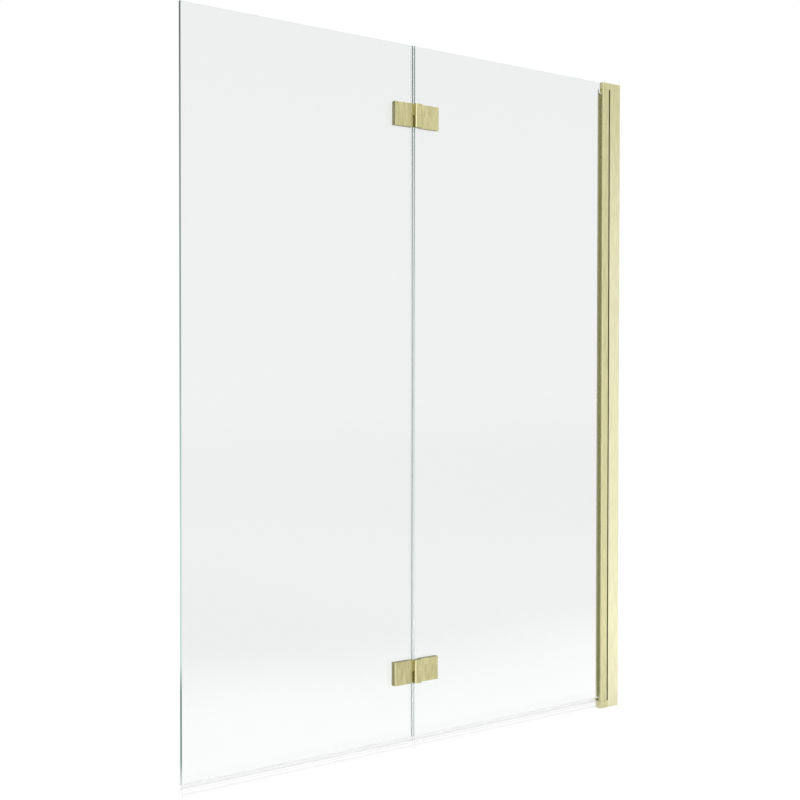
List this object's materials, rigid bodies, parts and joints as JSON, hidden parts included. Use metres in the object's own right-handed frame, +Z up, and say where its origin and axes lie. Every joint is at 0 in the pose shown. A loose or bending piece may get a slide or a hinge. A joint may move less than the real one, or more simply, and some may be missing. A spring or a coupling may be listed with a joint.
{
  "type": "folding bath screen",
  "caption": "Folding bath screen of clear glass panels joined by square hinges, on a slim pivoting wall post in pale brushed gold.",
  "frame": {"origin": "wall face, at the bath rim, on the mid-plane of the glass", "axes": "+Z up, +X into the wall so the screen stands towards -X, -Y the side with the hinges"},
  "size_m": [1.1, 0.0303, 1.4],
  "materials": {
    "brushed_gold": "brushed, anodised in a pale brass colour",
    "hinge_gold": "brushed, pale brass colour",
    "gold_lid": "satin, pale brass colour",
    "channel_aluminium": "mill finish",
    "clear_glass": "clear toughened glass with polished green-tinted edges",
    "clear_seal": "clear flexible seal strip",
    "clear_gasket": "translucent grey glazing gasket",
    "bush_plastic": "white bearing plastic",
    "steel": "stainless steel"
  },
  "bodies": {
    "wall": {"wall_channel": "channel_aluminium", "wall_post": "brushed_gold", "post_screws": "steel", "cap_screws": "steel", "top_pivot_cap": "brushed_gold", "bottom_pivot_cap": "brushed_gold", "post_top_lid": "gold_lid", "post_bottom_lid": "gold_lid", "top_pivot_pin": "steel", "bottom_pivot_pin": "steel", "pivot_thrust_washer": "bush_plastic"},
    "inner_panel": {"pivot_profile": "brushed_gold", "top_pivot_bush": "bush_plastic", "bottom_pivot_bush": "bush_plastic", "glazing_gasket": "clear_gasket", "inner_glass": "clear_glass", "inner_bottom_seal": "clear_seal", "upper_hinge_pin": "steel", "upper_hinge_washer": "bush_plastic", "upper_hinge_inner_leaf": "hinge_gold", "upper_hinge_inner_gasket": "clear_gasket", "upper_hinge_inner_sleeves": "bush_plastic", "upper_hinge_inner_clamp_discs": "hinge_gold", "upper_hinge_inner_clamp_screws": "steel", "lower_hinge_pin": "steel", "lower_hinge_washer": "bush_plastic", "lower_hinge_inner_leaf": "hinge_gold", "lower_hinge_inner_gasket": "clear_gasket", "lower_hinge_inner_sleeves": "bush_plastic", "lower_hinge_inner_clamp_discs": "hinge_gold", "lower_hinge_inner_clamp_screws": "steel"},
    "outer_panel": {"outer_glass": "clear_glass", "outer_bottom_seal": "clear_seal", "joint_seal_bottom": "clear_seal", "joint_seal_middle": "clear_seal", "joint_seal_top": "clear_seal", "upper_hinge_bush": "bush_plastic", "upper_hinge_outer_leaf": "hinge_gold", "upper_hinge_outer_gasket": "clear_gasket", "upper_hinge_outer_sleeves": "bush_plastic", "upper_hinge_outer_clamp_discs": "hinge_gold", "upper_hinge_outer_clamp_screws": "steel", "lower_hinge_bush": "bush_plastic", "lower_hinge_outer_leaf": "hinge_gold", "lower_hinge_outer_gasket": "clear_gasket", "lower_hinge_outer_sleeves": "bush_plastic", "lower_hinge_outer_clamp_discs": "hinge_gold", "lower_hinge_outer_clamp_screws": "steel"}
  },
  "joints": [
    {"name": "wall_pivot", "type": "hinge", "parent": "wall", "child": "inner_panel", "pos_m": [-0.0443, 0, 0], "axis": [0, 0, 1], "range_deg": [-90, 90]},
    {"name": "panel_fold", "type": "hinge", "parent": "inner_panel", "child": "outer_panel", "pos_m": [-0.5836, -0.01425, 0], "axis": [0, 0, 1], "range_deg": [0, 180]}
  ]
}
